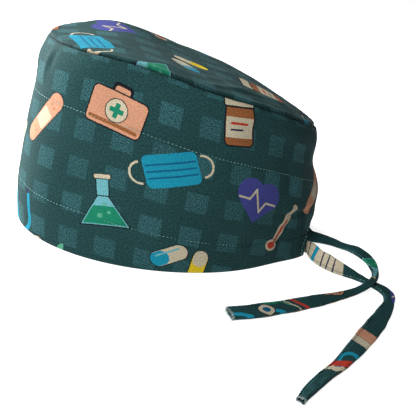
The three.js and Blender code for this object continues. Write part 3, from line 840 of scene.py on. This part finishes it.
def printed_cotton(name, shift, turn, strip_marks=()):
    """Dark teal cotton with a check of lighter squares and a scattered print.

    strip_marks are drawn once, at their places on a tie: round its section and along it."""
    recipe = Recipe(name)
    cloth = recipe.add("ShaderNodeUVMap", uv_map="cloth").outputs[0]
    place = recipe.vector("SCALE", cloth, scale=1 / MM)
    ragged = recipe.vector("SUBTRACT", recipe.noise(place, EDGE_SIZE, output="Color"), (0.5, 0.5, 0.5))
    ragged = recipe.vector("MULTIPLY", ragged, (EDGE_REACH, EDGE_REACH, 0))
    rough_place = recipe.vector("ADD", place, ragged)

    cell = recipe.vector("MULTIPLY", recipe.vector("SUBTRACT", rough_place, (*CHECK_START, 0)),
                         (1 / CHECK_PITCH[0], 1 / CHECK_PITCH[1], 0))
    cell_index = recipe.vector("FLOOR", cell)
    from_middle = recipe.vector("ABSOLUTE", recipe.vector(
        "SUBTRACT", recipe.vector("SUBTRACT", cell, cell_index), (0.5, 0.5, 0)))
    sides = recipe.axes(from_middle)
    furthest = recipe.number("MAXIMUM", sides["X"], sides["Y"])
    half_square = CHECK_SQUARE / CHECK_PITCH[0] / 2
    square = recipe.spread(furthest, half_square - SQUARE_SOFTNESS, half_square + SQUARE_SOFTNESS, 1.0, 0.0)
    chance = recipe.add("ShaderNodeTexWhiteNoise", noise_dimensions="2D")
    recipe.feed(chance.inputs["Vector"], cell_index)
    strength = recipe.spread(chance.outputs["Value"], *TONES["square"])
    speckle = recipe.noise(place, SPECKLE_SIZE)
    grain = recipe.spread(speckle, *TONES["grain"])
    square = recipe.number("MULTIPLY", square, recipe.number("MULTIPLY", strength, grain))
    cotton = recipe.mixed(square, linear("ground"), linear("square"))
    colour = recipe.vector("SCALE", cotton, scale=recipe.spread(speckle, *TONES["cotton"]))

    motif_place = recipe.placed(rough_place, shift[0], shift[1], turn, PRINT_SCALE, PRINT_SCALE)
    for x, y, motif_turn, marks in MOTIFS.values():
        moved = recipe.vector("SUBTRACT", motif_place, (x, y, 0))
        wrapped = recipe.vector("WRAP", moved, (REPEAT[0] / 2, REPEAT[1] / 2, 1),
                                (-REPEAT[0] / 2, -REPEAT[1] / 2, -1))
        own = recipe.placed(wrapped, 0, 0, motif_turn)
        for mark in marks:
            if mark[2] > 0:
                colour = recipe.mixed(mark_inside(recipe, own, mark, mark[2]), colour, linear("ink"))
            colour = recipe.mixed(mark_inside(recipe, own, mark, 0.0), colour, linear(mark[1]))

    for mark in strip_marks:
        colour = recipe.mixed(mark_inside(recipe, rough_place, mark, 0.0), colour, linear(mark[1]))

    fade = recipe.spread(recipe.noise(place, FADING_SIZE), *TONES["fading"])
    tone = recipe.number("MULTIPLY", fade, recipe.spread(speckle, *TONES["fleck"]))
    toned = recipe.vector("SCALE", colour, scale=tone)
    side = recipe.add("ShaderNodeAttribute", attribute_name="wrong_side")
    shown = recipe.mixed(recipe.number("MULTIPLY", side.outputs["Fac"], WRONG_SIDE_SHARE), toned,
                         linear("back of cloth"))
    # Painted shade: the colour is darkened in seams, stitch furrows, folds and the slots of the ties' cut
    # ends
    deep = recipe.add("ShaderNodeAttribute", attribute_name="painted_shade")
    daylight = recipe.number("MULTIPLY_ADD", deep.outputs["Fac"], -PAINTED_SHADE_SHARE, 1.0)
    shaded = recipe.vector("SCALE", shown, scale=daylight)
    recipe.feed(recipe.shader.inputs["Base Color"], shaded)

    threads = recipe.vector("SINE", recipe.vector("SCALE", place, scale=math.tau / WEAVE_SIZE))
    weave = recipe.number("MULTIPLY", recipe.axes(threads)["X"], recipe.axes(threads)["Y"])
    lint = recipe.number("MULTIPLY_ADD", recipe.noise(place, LINT_SIZE, LINT_DETAIL), LINT_STRENGTH, weave)
    bump = recipe.add("ShaderNodeBump")
    bump.inputs["Strength"].default_value = BUMP_STRENGTH
    bump.inputs["Distance"].default_value = BUMP_DEPTH * MM
    recipe.feed(bump.inputs["Height"], lint)
    recipe.feed(recipe.shader.inputs["Normal"], bump.outputs["Normal"])
    recipe.surface(CLOTH_SURFACE)
    return recipe.material


def sewing_thread(name, colour):
    recipe = Recipe(name)
    texture = recipe.add("ShaderNodeTexCoord").outputs["Object"]
    tone = recipe.spread(recipe.noise(texture, THREAD_TONE_SIZE), *TONES["thread"])
    shade = recipe.mixed(tone, linear("ground"), linear(colour))
    recipe.feed(recipe.shader.inputs["Base Color"], shade)
    recipe.surface(THREAD_SURFACE)
    return recipe.material


# ---- panels


def column_angles():
    """Places round the cap, closer together at the opening and its gathers."""
    rim_half = HALF_WIDTH * SECTIONS[0, 1]
    opening = math.degrees(math.asin(OPENING_WIDTH / 2 / rim_half))
    return np.concatenate([
        np.linspace(180 + COLUMN_SPREAD, 540 - COLUMN_SPREAD, PLAIN_COLUMNS, endpoint=False),
        np.linspace(540 - COLUMN_SPREAD, 540 - opening, FLARE_COLUMNS, endpoint=False),
        mix(540 - opening, 540 + opening, smooth(np.linspace(0, 1, ARCH_COLUMNS, endpoint=False))),
        np.linspace(540 + opening, 540 + COLUMN_SPREAD, FLARE_COLUMNS, endpoint=False),
    ]) % 360


COLUMNS = column_angles()


def wall_stations(count, crowding):
    """Shares up a wall, closer together at both ends."""
    even = np.linspace(0, 1, count)
    return even - crowding * np.sin(2 * math.pi * even) / (2 * math.pi)


def side_band(material):
    """The tall wall: outer face, turned-in top edge, inner face and rounded lower edge."""
    around = COLUMNS[None, :]
    edge, top = edge_of(COLUMNS)[None, :], top_of(COLUMNS)[None, :]
    outer_z = mix(edge + CLOTH / 2, top - TOP_TUCK, wall_stations(*OUTER_ROWS)[:, None])
    relief = band_relief(around, outer_z)
    inner_z = mix(edge + CLOTH / 2, top - TOP_TUCK, wall_stations(*INNER_ROWS)[::-1, None])
    z = np.concatenate([outer_z, top + TOP_EDGE[:, 1:2], inner_z, edge + LOWER_EDGE[:, 1:2]])
    inside = np.concatenate([
        -relief + seam_pull(top - outer_z),
        SEAM_ROLL + TOP_EDGE[:, :1] + 0 * top,
        CLOTH - band_relief(around, inner_z) + seam_pull(top - inner_z),
        CLOTH * LOWER_EDGE[:, :1] - relief[:1],
    ])
    points = wall_grid(around, z, inside)
    # The map is cut at the centre back, where the band's ends are sewn together
    uv = np.stack([round_length(around) + 0 * z, z - top], axis=-1)
    reverse = np.concatenate([
        np.zeros(len(outer_z)), TOP_EDGE[:, 2], np.ones(len(inner_z)), LOWER_EDGE[:, 2],
    ])
    painted_shade = np.zeros(z.shape)
    # Painted shade on the outer face's seams and stitch lines, and on the whole turned-in top edge
    painted_shade[:len(outer_z)] = band_painted_shade(around, outer_z)
    painted_shade[len(outer_z):len(outer_z) + len(TOP_EDGE)] = 1.0
    faces = ring_faces(len(z), len(COLUMNS), True, True).tolist()
    piece = piece_from("side_band_cloth", points, faces, uv,
                       np.repeat(reverse, len(COLUMNS)), painted_shade, material)
    mend_back_map(piece)
    return finished(piece, "side_band")


def mend_back_map(piece):
    """Faces over the centre back take the map of their own side."""
    mesh = piece.data
    layer = mesh.uv_layers["cloth"]
    uv = np.zeros(len(mesh.loops) * 2)
    layer.data.foreach_get("uv", uv)
    uv = uv.reshape(-1, 4, 2)
    full_turn = 2 * TURN_LENGTHS[-1] * MM
    spread = uv[:, :, 0].max(axis=1) - uv[:, :, 0].min(axis=1) > full_turn / 2
    wrapped = uv[spread]
    wrapped[:, :, 0] = np.where(wrapped[:, :, 0] < 0, wrapped[:, :, 0] + full_turn, wrapped[:, :, 0])
    uv[spread] = wrapped
    layer.data.foreach_set("uv", uv.ravel())


def pocket_at(around):
    from_back = np.abs(angle_between(around, 180.0))
    return POCKET_ROOM * (1 - smooth((from_back - POCKET_SPREAD) / POCKET_EASE))


def hem_casing(material):
    """The turned-up layer of the hem, which stands open round the roots of the ties."""
    kept = COLUMNS[edge_of(COLUMNS) < CASING_STOP * line_at(HEM_LINE, COLUMNS)]
    around = np.concatenate([np.sort(kept[kept > 180]), np.sort(kept[kept <= 180])])
    edge, hem = edge_of(around)[None, :], line_at(HEM_LINE, around)[None, :] + CASING_RISE
    face_z = mix(edge + CASING_FOOT, hem - CASING_TUCK, np.linspace(0, 1, CASING_ROWS)[:, None])
    along = round_length(around)[None, :]
    wave = swells("hem layer", along, face_z) * smooth((face_z - edge) / CASING_EASE)
    stand = HEM_INSIDE + pocket_at(around)[None, :] + wave
    z = np.concatenate([
        face_z, hem + CASING_TOP_EDGE[:, 1:2], face_z[::-1], edge + CASING_LOWER_EDGE[:, 1:2],
    ])
    inside = np.concatenate([
        stand, stand[-1:] + HEM_CLOTH * CASING_TOP_EDGE[:, :1],
        stand[::-1] + HEM_CLOTH, stand[:1] + HEM_CLOTH * CASING_LOWER_EDGE[:, :1],
    ])
    rows, columns = z.shape
    points = wall_grid(around[None, :], z, inside)
    faces = ring_faces(rows, columns, True, False).tolist()
    faces.append([row * columns for row in range(rows)])
    faces.append([row * columns + columns - 1 for row in range(rows)][::-1])
    uv = np.stack([along + 0 * z, -top_of(around)[None, :] - z], axis=-1)
    reverse = np.concatenate([
        np.ones(len(face_z)), CASING_TOP_EDGE[:, 2], np.zeros(len(face_z)), CASING_LOWER_EDGE[:, 2],
    ])
    piece = piece_from("hem_casing_cloth", points, faces, uv,
                       np.repeat(reverse, columns), np.zeros(rows * columns), material)
    return finished(piece, "hem_casing")


def crown_relief(x, y, from_edge):
    """Small folds, wrinkles and puckers of the top panel."""
    back_share = smooth((y - CROWN_BACK) / CROWN_BACK_EASE)
    height = creases(CROWN_CREASES, x, y) + swells("crown", x, y)
    height = (height + back_share * swells("crown wrinkles", x, y)) * smooth(from_edge / CROWN_FADE)
    pucker = PUCKER * swells("crown puckers", x, y)
    return height + pucker * pucker_share(from_edge, CROWN_PUCKER_REACH)


def crown_surface(x, y, share):
    """Height of the top panel's underside in the frame."""
    z = seam_height(x, y) - SEAT_WALL + CROWN_DOME * (1 - share**DOME_POWER)
    for middle_x, middle_y, wide, long, deep in CROWN_HOLLOWS:
        across = (x / HALF_WIDTH - middle_x) / wide
        along = (y / HALF_LENGTH - middle_y) / long
        z = z - CROWN_DOME * deep * bell(across) * bell(along) * smooth((1 - share) / HOLLOW_FADE)
    return z


def crown_top(material):
    """The top panel: a domed sheet that rolls down to the seam at its edge."""
    edge_x, edge_y, _ = wall_point(COLUMNS, top_of(COLUMNS), 0.0)
    reach = np.hypot(edge_x, edge_y - PLAN_MIDDLE)
    share = 1 - wall_stations(*CROWN_ROWS)[:-1, None]
    from_edge = (1 - share) * reach[None, :]
    x = edge_x[None, :] * share
    y = mix(PLAN_MIDDLE, edge_y[None, :], share)
    upper = crown_surface(x, y, share) + SEAT_WALL + crown_relief(x, y, from_edge)
    upper = upper - CROWN_ROLL * np.exp(-from_edge / CROWN_ROLL_WIDTH)
    pull = CROWN_PULL * bell(from_edge / CROWN_PULL_WIDTH) / np.maximum(reach[None, :], 1)
    upper_x, upper_y = x * (1 - pull), mix(PLAN_MIDDLE, y, 1 - pull)
    under_share = share[::2][::-1]
    under_reach = under_share * UNDER_SHARE
    under_x = edge_x[None, :] * under_reach
    under_y = mix(PLAN_MIDDLE, edge_y[None, :], under_reach)
    under_edge = (1 - under_reach) * reach[None, :]
    under = crown_surface(under_x, under_y, under_share) + SEAT_WALL - CLOTH
    under = under + crown_relief(under_x, under_y, under_edge)
    under = under - UNDER_DROP * np.exp(-under_edge / UNDER_DROP_WIDTH)
    centre = [[0, PLAN_MIDDLE, float(upper[-1].mean())], [0, PLAN_MIDDLE, float(under[0].mean())]]
    grid = np.concatenate([
        np.stack([upper_x, upper_y, upper], axis=-1)[::-1],
        np.stack([under_x, under_y, under], axis=-1)[::-1],
    ])
    rows, columns = grid.shape[:2]
    points = np.concatenate([grid.reshape(-1, 3), np.array(centre)])
    faces = ring_faces(rows, columns, False, True)[:, ::-1].tolist()
    crown, below = rows * columns, rows * columns + 1
    for c in range(columns):
        n = (c + 1) % columns
        faces.append([crown, c, n])
        faces.append([below, (rows - 1) * columns + n, (rows - 1) * columns + c])
    uv = points[:, [1, 0]] * np.array([1, -1])
    upper_count, under_count = len(share) * columns, len(under_share) * columns
    reverse = np.concatenate([np.zeros(upper_count), np.ones(under_count), [0, 1]])
    # Painted shade where the top panel rolls down into the seam
    crevice_painted_shade = np.clip(CREVICE_SHADE * np.exp(-from_edge / CROWN_CREVICE_SHADE_REACH), 0, 1)[::-1]
    painted_shade = np.concatenate([crevice_painted_shade.ravel(), np.zeros(under_count + 2)])
    piece = piece_from("crown_top_cloth", points, faces, uv, reverse, painted_shade, material)
    return finished(piece, "crown_top")


# ---- stitches


STITCH_INPUTS = (
    ("Step", "Float"), ("Length", "Float"), ("Thickness", "Float"),
    ("Scatter", "Float"), ("Seed", "Int"), ("Thread", "Material"),
)
STITCH_NODES = {
    "given": "NodeGroupInput",
    "line": "GeometryNodeMeshToCurve",
    "steps": "GeometryNodeResampleCurve",
    "along": "GeometryNodeInputTangent",
    "bead": "GeometryNodeMeshUVSphere",
    "aim": "FunctionNodeAlignRotationToVector",
    "size": "ShaderNodeCombineXYZ",
    "laid": "GeometryNodeInstanceOnPoints",
    "real": "GeometryNodeRealizeInstances",
    "coloured": "GeometryNodeSetMaterial",
    "done": "NodeGroupOutput",
    "chance": "FunctionNodeRandomValue",
    "strewn": "ShaderNodeVectorMath",
    "leaning": "ShaderNodeVectorMath",
}
# From a node's output to a node's input
STITCH_LINKS = (
    ("given", "Geometry", "line", "Mesh"),
    ("line", "Curve", "steps", "Curve"),
    ("given", "Step", "steps", "Length"),
    ("given", "Seed", "chance", "Seed"),
    ("chance", "Value", "strewn", 0),
    ("given", "Scatter", "strewn", "Scale"),
    ("strewn", "Vector", "leaning", 0),
    ("leaning", "Vector", "aim", "Vector"),
    ("given", "Length", "size", "X"),
    ("given", "Thickness", "size", "Y"),
    ("given", "Thickness", "size", "Z"),
    ("steps", "Curve", "laid", "Points"),
    ("bead", "Mesh", "laid", "Instance"),
    ("aim", "Rotation", "laid", "Rotation"),
    ("size", "Vector", "laid", "Scale"),
    ("laid", "Instances", "real", "Geometry"),
    ("real", "Geometry", "coloured", "Geometry"),
    ("given", "Thread", "coloured", "Material"),
    ("coloured", "Geometry", "done", "Geometry"),
)


def stitch_tree(name, lean):
    """Nodes that lay one short thread at every step along a line. A lean of nothing follows it."""
    tree = bpy.data.node_groups.new(name, "GeometryNodeTree")
    tree.interface.new_socket("Geometry", in_out="INPUT", socket_type="NodeSocketGeometry")
    names = {}
    for label, kind in STITCH_INPUTS:
        socket = tree.interface.new_socket(label, in_out="INPUT", socket_type="NodeSocket" + kind)
        names[label] = socket.identifier
    tree.interface.new_socket("Geometry", in_out="OUTPUT", socket_type="NodeSocketGeometry")
    nodes = {label: tree.nodes.new(kind) for label, kind in STITCH_NODES.items()}
    nodes["steps"].mode = "LENGTH"
    for label, value in (("Segments", 6), ("Rings", 5), ("Radius", 0.5)):
        nodes["bead"].inputs[label].default_value = value
    nodes["aim"].axis = "X"
    nodes["chance"].data_type = "FLOAT_VECTOR"
    nodes["chance"].inputs["Min"].default_value = (-1, -1, -1)
    nodes["chance"].inputs["Max"].default_value = (1, 1, 1)
    nodes["strewn"].operation = "SCALE"
    nodes["leaning"].operation = "ADD"
    for source, output, target, into in STITCH_LINKS:
        tree.links.new(nodes[source].outputs[output], nodes[target].inputs[into])
    if lean is None:
        tree.links.new(nodes["along"].outputs["Tangent"], nodes["leaning"].inputs[1])
    else:
        nodes["leaning"].inputs[1].default_value = lean
    return tree, names


def stitches(name, lines, thread, kind, seed, scatter=0.0, lean=None):
    """Short threads of one kind laid along lines of points in millimetres, as one plain mesh."""
    step, length, thickness = (size * MM for size in STITCHES[kind])
    points, edges = [], []
    for line in lines:
        start = len(points)
        points.extend((np.asarray(line) * MM).tolist())
        edges.extend([start + k, start + k + 1] for k in range(len(line) - 1))
    mesh = bpy.data.meshes.new(name)
    mesh.from_pydata(points, edges, [])
    piece = in_scene(name, mesh)
    tree, names = stitch_tree(name, lean)
    sewing = piece.modifiers.new("sewing", "NODES")
    sewing.node_group = tree
    for label, value in (("Step", step), ("Length", length), ("Thickness", thickness),
                         ("Scatter", scatter), ("Seed", seed), ("Thread", thread)):
        sewing[names[label]] = value
    view = bpy.context.evaluated_depsgraph_get()
    view.update()
    sewn = bpy.data.meshes.new_from_object(piece.evaluated_get(view))
    piece.modifiers.clear()
    piece.data = sewn
    sewn.name = name
    sewn.polygons.foreach_set("use_smooth", np.ones(len(sewn.polygons), bool))
    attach(piece, "root")
    return piece


def on_band(around, z):
    """Middles of threads that lie partly sunk in the band's outer face."""
    return wall_grid(around, z, -THREAD_RISE - band_relief(around, z))


def hem_stitches(thread):
    around = np.linspace(180, 540, HEM_STEPS)
    height = line_at(HEM_LINE, around)
    shown = height > edge_of(around) + HEM_STITCH_CLEAR
    above = on_band(around, top_of(around) - line_at(UPPER_LINE, around))
    stitches("hem_stitches", [on_band(around[shown], height[shown])], thread, "hem", seed=3)
    stitches("inner_band_stitches", [above], thread, "inner band", seed=5)


def opening_stitches(thread):
    """The row of stitches that follows the opening's arch."""
    across = np.linspace(-1, 1, ARCH_STEPS)
    across = np.sign(across) * (1 - (1 - np.abs(across)) ** ARCH_CROWDING)
    x = across * OPENING_WIDTH / 2
    z = OPENING_HEIGHT * (1 - np.abs(across) ** OPENING_BOW)
    run_x, run_z = np.gradient(x), np.gradient(z)
    length = np.hypot(run_x, run_z)
    x, z = x - run_z / length * ARCH_STITCH_INSET, z + run_x / length * ARCH_STITCH_INSET
    around = 180 - np.degrees(np.arcsin(x / (HALF_WIDTH * SECTIONS[0, 1])))
    kept = z > ARCH_STITCH_START
    stitches("opening_stitches", [on_band(around[kept], z[kept])], thread, "opening", seed=7)


# ---- ties


def route_points(route, steps):
    """Middle line of a tie, through its route's rows, with the turn, width and thickness."""
    places = route[:, :3]
    last = len(places) - 1
    rows = []
    for step in range(steps + 1):
        t = step / steps * last
        k = min(int(t), last - 1)
        part = t - k
        p1, p2 = places[k], places[k + 1]
        p0 = places[k - 1] if k > 0 else 2 * places[0] - places[1]
        p3 = places[k + 2] if k + 2 <= last else 2 * places[last] - places[last - 1]
        gaps = [math.sqrt(np.linalg.norm(b - a)) for a, b in ((p0, p1), (p1, p2), (p2, p3))]
        start = (p1 - p0) / gaps[0] - (p2 - p0) / (gaps[0] + gaps[1]) + (p2 - p1) / gaps[1]
        end = (p2 - p1) / gaps[1] - (p3 - p1) / (gaps[1] + gaps[2]) + (p3 - p2) / gaps[2]
        start, end = start * gaps[1], end * gaps[1]
        middle = (
            p1 + start * part + (-3 * p1 + 3 * p2 - 2 * start - end) * part**2
            + (2 * p1 - 2 * p2 + start + end) * part**3
        )
        rows.append(np.concatenate([middle, mix(route[k, 3:], route[k + 1, 3:], part)]))
    return np.array(rows)


# Section of a tie: points round it, roundness of its sides and faces, its furrow and its shallow valley
TIE_COLUMNS = 48
TIE_SIDE_POWER, TIE_FACE_POWER = 0.55, 0.38
FURROW_WIDTH, FURROW_DEPTH = 0.09, 0.42
VALLEY_PLACE, VALLEY_WIDTH, VALLEY_DEPTH = -0.1, 0.5, 0.1
# The frayed edge: swells round the sides and over the faces, and rise of the cloth's map over a face
FRAY_SIDES, FRAY_FACES, MAP_RISE = 9, 4, 0.6
# Rings of the slot in a tie's cut end: share of its width, share of its thickness, how far back
TIE_SLOT = [(0.97, 0.72, 0.0), (0.93, 0.45, 0.4), (0.9, 0.34, 3.0), (0.85, 0.22, 6.0)]


def tie_outline():
    """Half width and half thickness round a folded strip, and how deep in its furrow."""
    angle = np.linspace(0, 2 * math.pi, TIE_COLUMNS, endpoint=False)
    across = np.sign(np.cos(angle)) * np.abs(np.cos(angle)) ** TIE_SIDE_POWER
    through = np.sign(np.sin(angle)) * np.abs(np.sin(angle)) ** TIE_FACE_POWER
    furrow = bell((across - TIE_SEAM) / FURROW_WIDTH)
    valley = VALLEY_DEPTH * bell((across - VALLEY_PLACE) / VALLEY_WIDTH)
    return across, through * (1 - FURROW_DEPTH * furrow - valley), furrow


def tie_frame(route, steps):
    """Middle line of a tie with its directions, and its lengths and widths at each place."""
    rows = route_points(route, steps)
    middle, turn, wide, thick = rows[:, :3], np.radians(rows[:, 3]), rows[:, 4], rows[:, 5]
    run = np.gradient(middle, axis=0)
    run /= np.linalg.norm(run, axis=1)[:, None]
    lengths = np.concatenate([[0], np.cumsum(np.linalg.norm(np.diff(middle, axis=0), axis=1))])
    level = np.stack([-run[:, 1], run[:, 0], 0 * run[:, 0]], axis=1)
    level /= np.linalg.norm(level, axis=1)[:, None]
    rise = np.cross(run, level)
    across = level * np.cos(turn)[:, None] + rise * np.sin(turn)[:, None]
    through = np.cross(run, across)
    return middle, lengths, across, through, wide, thick, run


def tie_swell(kind, along, across, seed):
    height, stretch, start, size, step = TIE_SWELLS[kind]
    return height * drift(along, across * stretch + start, size, seed + step)


def tie(name, node, route, seed, cotton, thread, frayed):
    """A flat folded strip of cloth along its route, open and frayed at its cut end."""
    middle, lengths, across, through, wide, thick, run = tie_frame(route, TIE_STEPS)
    a, b, furrow = tie_outline()
    count = len(a)
    free = smooth((lengths - LOOSE_FROM) / LOOSE_EASE)
    half_wide = TIE_WIDTH / 2 * wide * (1 + free * tie_swell("width", lengths, 0 * lengths, seed))
    half_thick = TIE_THICKNESS / 2 * thick
    loose = free[:, None]
    ripple, wrinkle, sway = (
        tie_swell(kind, lengths[:, None], a[None, :], seed) * loose
        for kind in ("ripple", "wrinkle", "sway")
    )
    lift = half_thick[:, None] * b[None, :] * (1 + ripple + wrinkle) + sway
    points = (
        middle[:, None, :]
        + across[:, None, :] * (half_wide[:, None] * a[None, :])[..., None]
        + through[:, None, :] * lift[..., None]
    )
    points[..., 2] = np.maximum(points[..., 2], TIE_CLEAR)
    # The cut end is open: its layers turn in and leave a slot between them
    end = points[-1]
    rim = end.mean(axis=0)
    ragged = RAGGED * drift(a * FRAY_SIDES, b * FRAY_FACES, 1.0, seed + 5)
    points[-1] += run[-1] * ragged[:, None]
    slots = [
        rim + np.outer((end - rim) @ across[-1] * shrink_wide, across[-1])
        + np.outer((end - rim) @ through[-1] * shrink_thick, through[-1]) - run[-1] * back
        + run[-1] * (ragged * RAGGED_LIP * (back < 1))[:, None]
        for shrink_wide, shrink_thick, back in TIE_SLOT
    ]
    grid = np.concatenate([points, np.array(slots)])
    rows = grid.shape[0]
    faces = ring_faces(rows, count, False, True).tolist()
    faces.append(list(range(count))[::-1])
    faces.append([(rows - 1) * count + k for k in range(count)])
    around = np.cumsum(np.concatenate([[0], np.hypot(np.diff(a) * TIE_WIDTH / 2, np.diff(b) * MAP_RISE)]))
    v = np.concatenate([lengths, np.full(len(slots), lengths[-1])])
    uv = np.stack([np.tile(around, (rows, 1)), np.tile(v[:, None], (1, count))], axis=-1)
    reverse = np.repeat(np.concatenate([np.zeros(len(points)), (0.5, 0.9, 1.0, 1.0)]), count)
    # Painted shade along the tie's furrow and inside the slot of its cut end
    painted_shade = np.tile(TIE_FURROW_SHADE * furrow, (rows, 1))
    painted_shade[len(points) + 1:] = TIE_SLOT_SHADE
    piece = piece_from(name, grid, faces, uv, reverse, painted_shade, cotton)
    finished(piece, node)
    seam = []
    for side in (1, -1):
        line = (
            middle + across * (half_wide * (TIE_SEAM * SEAM_WIDTH))[:, None]
            + through * (side * half_thick * SEAM_FACE)[:, None]
        )[SEWN_ROWS]
        line[:, 2] = np.maximum(line[:, 2], SEAM_CLEAR)
        seam.append(line)
    sewn = stitches(name + "_stitches", seam, thread, "tie", seed)
    closed = np.concatenate([points[-1], points[-1][:1]])
    fringe = stitches(name + "_fringe", [closed + run[-1] * FRINGE_STEP, closed], frayed, "fringe", seed + 9,
                      scatter=0.55, lean=tuple(run[-1]))
    return piece


# ---- room, light and camera


def pale_floor():
    mesh = bpy.data.meshes.new("floor")
    corners = ((-1, -1), (1, -1), (1, 1), (-1, 1))
    mesh.from_pydata([(x * FLOOR_REACH, y * FLOOR_REACH, -FLOOR_DROP) for x, y in corners], [],
                     [(0, 1, 2, 3)])
    recipe = Recipe("pale_floor")
    recipe.surface(FLOOR_SURFACE)
    mesh.materials.append(recipe.material)
    in_scene("floor", mesh)


def soft_light(name, place, size, power):
    light = bpy.data.lights.new(name, "AREA")
    light.shape = "DISK"
    light.size = size
    light.energy = power
    lamp = in_scene(name, light)
    lamp.location = place
    lamp.rotation_euler = (Vector(LIGHT_AIM) - Vector(place)).to_track_quat("-Z", "Y").to_euler()


def studio():
    world = bpy.data.worlds.new("studio")
    bpy.context.scene.world = world
    world.use_nodes = True
    background = world.node_tree.nodes["Background"]
    background.inputs["Color"].default_value = (1, 1, 1, 1)
    background.inputs["Strength"].default_value = WORLD_STRENGTH
    for light in LIGHTS:
        soft_light(*light)
    bpy.context.scene.view_settings.view_transform = "Standard"


def photograph_camera():
    azimuth, elevation = math.radians(VIEW_AZIMUTH), math.radians(VIEW_ELEVATION)
    back = Vector((
        math.sin(azimuth) * math.cos(elevation), -math.cos(azimuth) * math.cos(elevation),
        math.sin(elevation),
    ))
    roll = Matrix.Rotation(math.radians(VIEW_ROLL), 3, "Z")
    data = bpy.data.cameras.new("photograph_camera")
    data.sensor_width = SENSOR_WIDTH
    data.lens = FOCAL_WIDTHS * SENSOR_WIDTH
    data.clip_start = 0.01
    camera = in_scene("photograph_camera", data)
    camera.location = Vector(VIEW_TARGET) + back * VIEW_DISTANCE
    camera.rotation_euler = (back.to_track_quat("Z", "Y").to_matrix() @ roll).to_euler()
    bpy.context.scene.camera = camera


# ---- assembly

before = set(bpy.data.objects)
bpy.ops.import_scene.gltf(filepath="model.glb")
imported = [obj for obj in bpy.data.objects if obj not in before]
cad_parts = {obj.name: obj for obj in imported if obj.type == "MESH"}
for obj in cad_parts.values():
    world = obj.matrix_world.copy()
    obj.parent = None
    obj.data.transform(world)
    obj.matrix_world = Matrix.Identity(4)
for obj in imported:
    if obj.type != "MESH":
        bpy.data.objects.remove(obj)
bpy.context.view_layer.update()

photograph_camera()
studio()
pale_floor()

band_cotton = printed_cotton("band_cotton", (-14.0, 6.0), 0)
crown_cotton = printed_cotton("crown_cotton", (40.0, 30.0), 78)
near_tie_cotton = printed_cotton("near_tie_cotton", (58.0, 30.0), 34, NEAR_TIE_MARKS)
far_tie_cotton = printed_cotton("far_tie_cotton", (96.0, 40.0), -22, FAR_TIE_MARKS)

thread = sewing_thread("sewing_thread", "thread")
frayed = sewing_thread("frayed_thread", "frayed")

tie("tie_left_cloth", "tie_left", LEFT_TIE, 41, near_tie_cotton, thread, frayed)
tie("tie_right_cloth", "tie_right", RIGHT_TIE, 61, far_tie_cotton, thread, frayed)
side_band(band_cotton)
hem_casing(band_cotton)
crown_top(crown_cotton)
hem_stitches(thread)
opening_stitches(thread)
